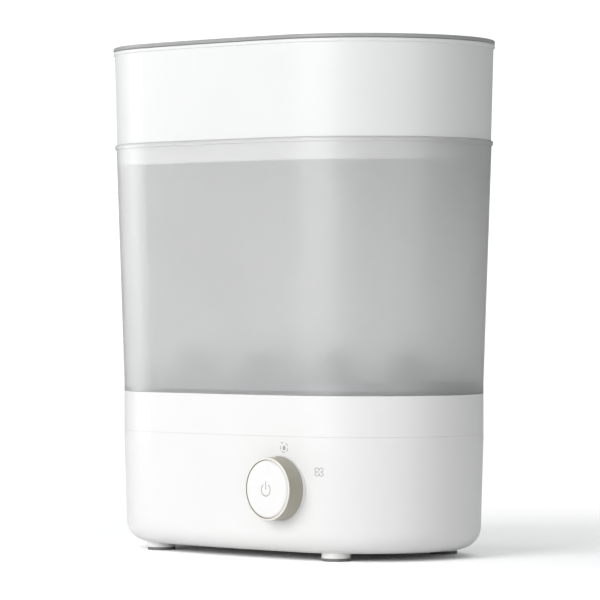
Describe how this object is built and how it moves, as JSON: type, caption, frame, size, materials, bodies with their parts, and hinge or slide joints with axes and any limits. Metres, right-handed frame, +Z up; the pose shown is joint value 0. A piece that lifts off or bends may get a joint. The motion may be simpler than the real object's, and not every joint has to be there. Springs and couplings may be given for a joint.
{
  "type": "bottle sterilizer",
  "caption": "Oval electric steam sterilizer and dryer for baby bottles: base with one knob, frosted bottle tub, nesting white basket and thin grey lid.",
  "frame": {"origin": "on the table under the middle of the body's plan outline", "axes": "+Z up, -Y towards the front with the knob, +X to the right seen from the front, along the body's length"},
  "size_m": [0.2944, 0.182, 0.345],
  "materials": {
    "white_plastic": "satin",
    "frosted_plastic": "frosted translucent",
    "rack_plastic": "satin",
    "smoke_plastic": "smoke grey translucent",
    "taupe_plastic": "satin taupe",
    "dark_rubber": "matt",
    "black_plastic": "moulded",
    "stainless": "brushed",
    "zinc_steel": "zinc plated",
    "aluminium": "cast",
    "silicone": "translucent silicone",
    "board_green": "solder mask",
    "brass": "plain",
    "foam": "open-cell foam",
    "wire_brown": "cable sleeve",
    "wire_red": "silicone sleeve",
    "wire_yellow": "cable sleeve",
    "wire_blue": "cable sleeve",
    "ribbon": "ribbon cable"
  },
  "bodies": {
    "base": {"base_shell": "white_plastic", "deck_housing": "white_plastic", "bottom_cover": "white_plastic", "rubber_feet": "dark_rubber", "cover_screws": "zinc_steel", "housing_screws": "zinc_steel", "heating_plate": "stainless", "plate_gasket": "silicone", "heat_spreader": "aluminium", "heating_element": "stainless", "clamp_ring": "zinc_steel", "clamp_screws": "zinc_steel", "thermostat": "zinc_steel", "thermal_fuse": "brass", "fan_housing": "black_plastic", "fan_motor": "zinc_steel", "air_duct": "black_plastic", "air_heater": "aluminium", "outlet_grille": "white_plastic", "air_filter": "foam", "power_board": "board_green", "board_parts": "black_plastic", "board_screws": "zinc_steel", "control_board": "board_green", "control_screws": "zinc_steel", "rotary_switch": "black_plastic", "tact_switch": "black_plastic", "knob_collar": "white_plastic", "cord_gland": "black_plastic", "mains_wires": "wire_brown", "heater_wires": "wire_red", "sensor_wires": "wire_yellow", "motor_wires": "wire_blue", "dryer_wires": "wire_red", "panel_ribbon": "ribbon"},
    "cover": {"filter_cover": "white_plastic"},
    "fan": {"motor_shaft": "zinc_steel", "fan_impeller": "black_plastic"},
    "knob": {"knob_ring": "taupe_plastic", "switch_spindle": "zinc_steel"},
    "button": {"power_button": "white_plastic"},
    "tub": {"tub": "frosted_plastic"},
    "rack": {"bottle_rack": "rack_plastic"},
    "basket": {"upper_basket": "white_plastic"},
    "lid": {"lid": "smoke_plastic"}
  },
  "joints": [
    {"name": "tub_lift", "type": "slide", "parent": "base", "child": "tub", "axis": [0, 0, 1], "range_m": [0, 0.2]},
    {"name": "rack_lift", "type": "slide", "parent": "tub", "child": "rack", "axis": [0, 0, 1], "range_m": [0, 0.12]},
    {"name": "basket_lift", "type": "slide", "parent": "tub", "child": "basket", "axis": [0, 0, 1], "range_m": [0, 0.12]},
    {"name": "lid_lift", "type": "slide", "parent": "basket", "child": "lid", "axis": [0, 0, 1], "range_m": [0, 0.1]},
    {"name": "knob_turn", "type": "hinge", "parent": "base", "child": "knob", "pos_m": [0.0591, -0.0802, 0.0477], "axis": [0, -1, 0], "range_deg": [-60, 0]},
    {"name": "power_press", "type": "slide", "parent": "knob", "child": "button", "axis": [0, 1, 0], "range_m": [0, 0.0015], "stiffness_N_per_m": 400, "springref_m": -0.001},
    {"name": "fan_spin", "type": "hinge", "parent": "base", "child": "fan", "pos_m": [0.038, 0.028, 0.047], "axis": [0, 1, 0], "continuous": true},
    {"name": "cover_pull", "type": "slide", "parent": "base", "child": "cover", "axis": [0, 1, 0], "range_m": [0, 0.05]}
  ]
}
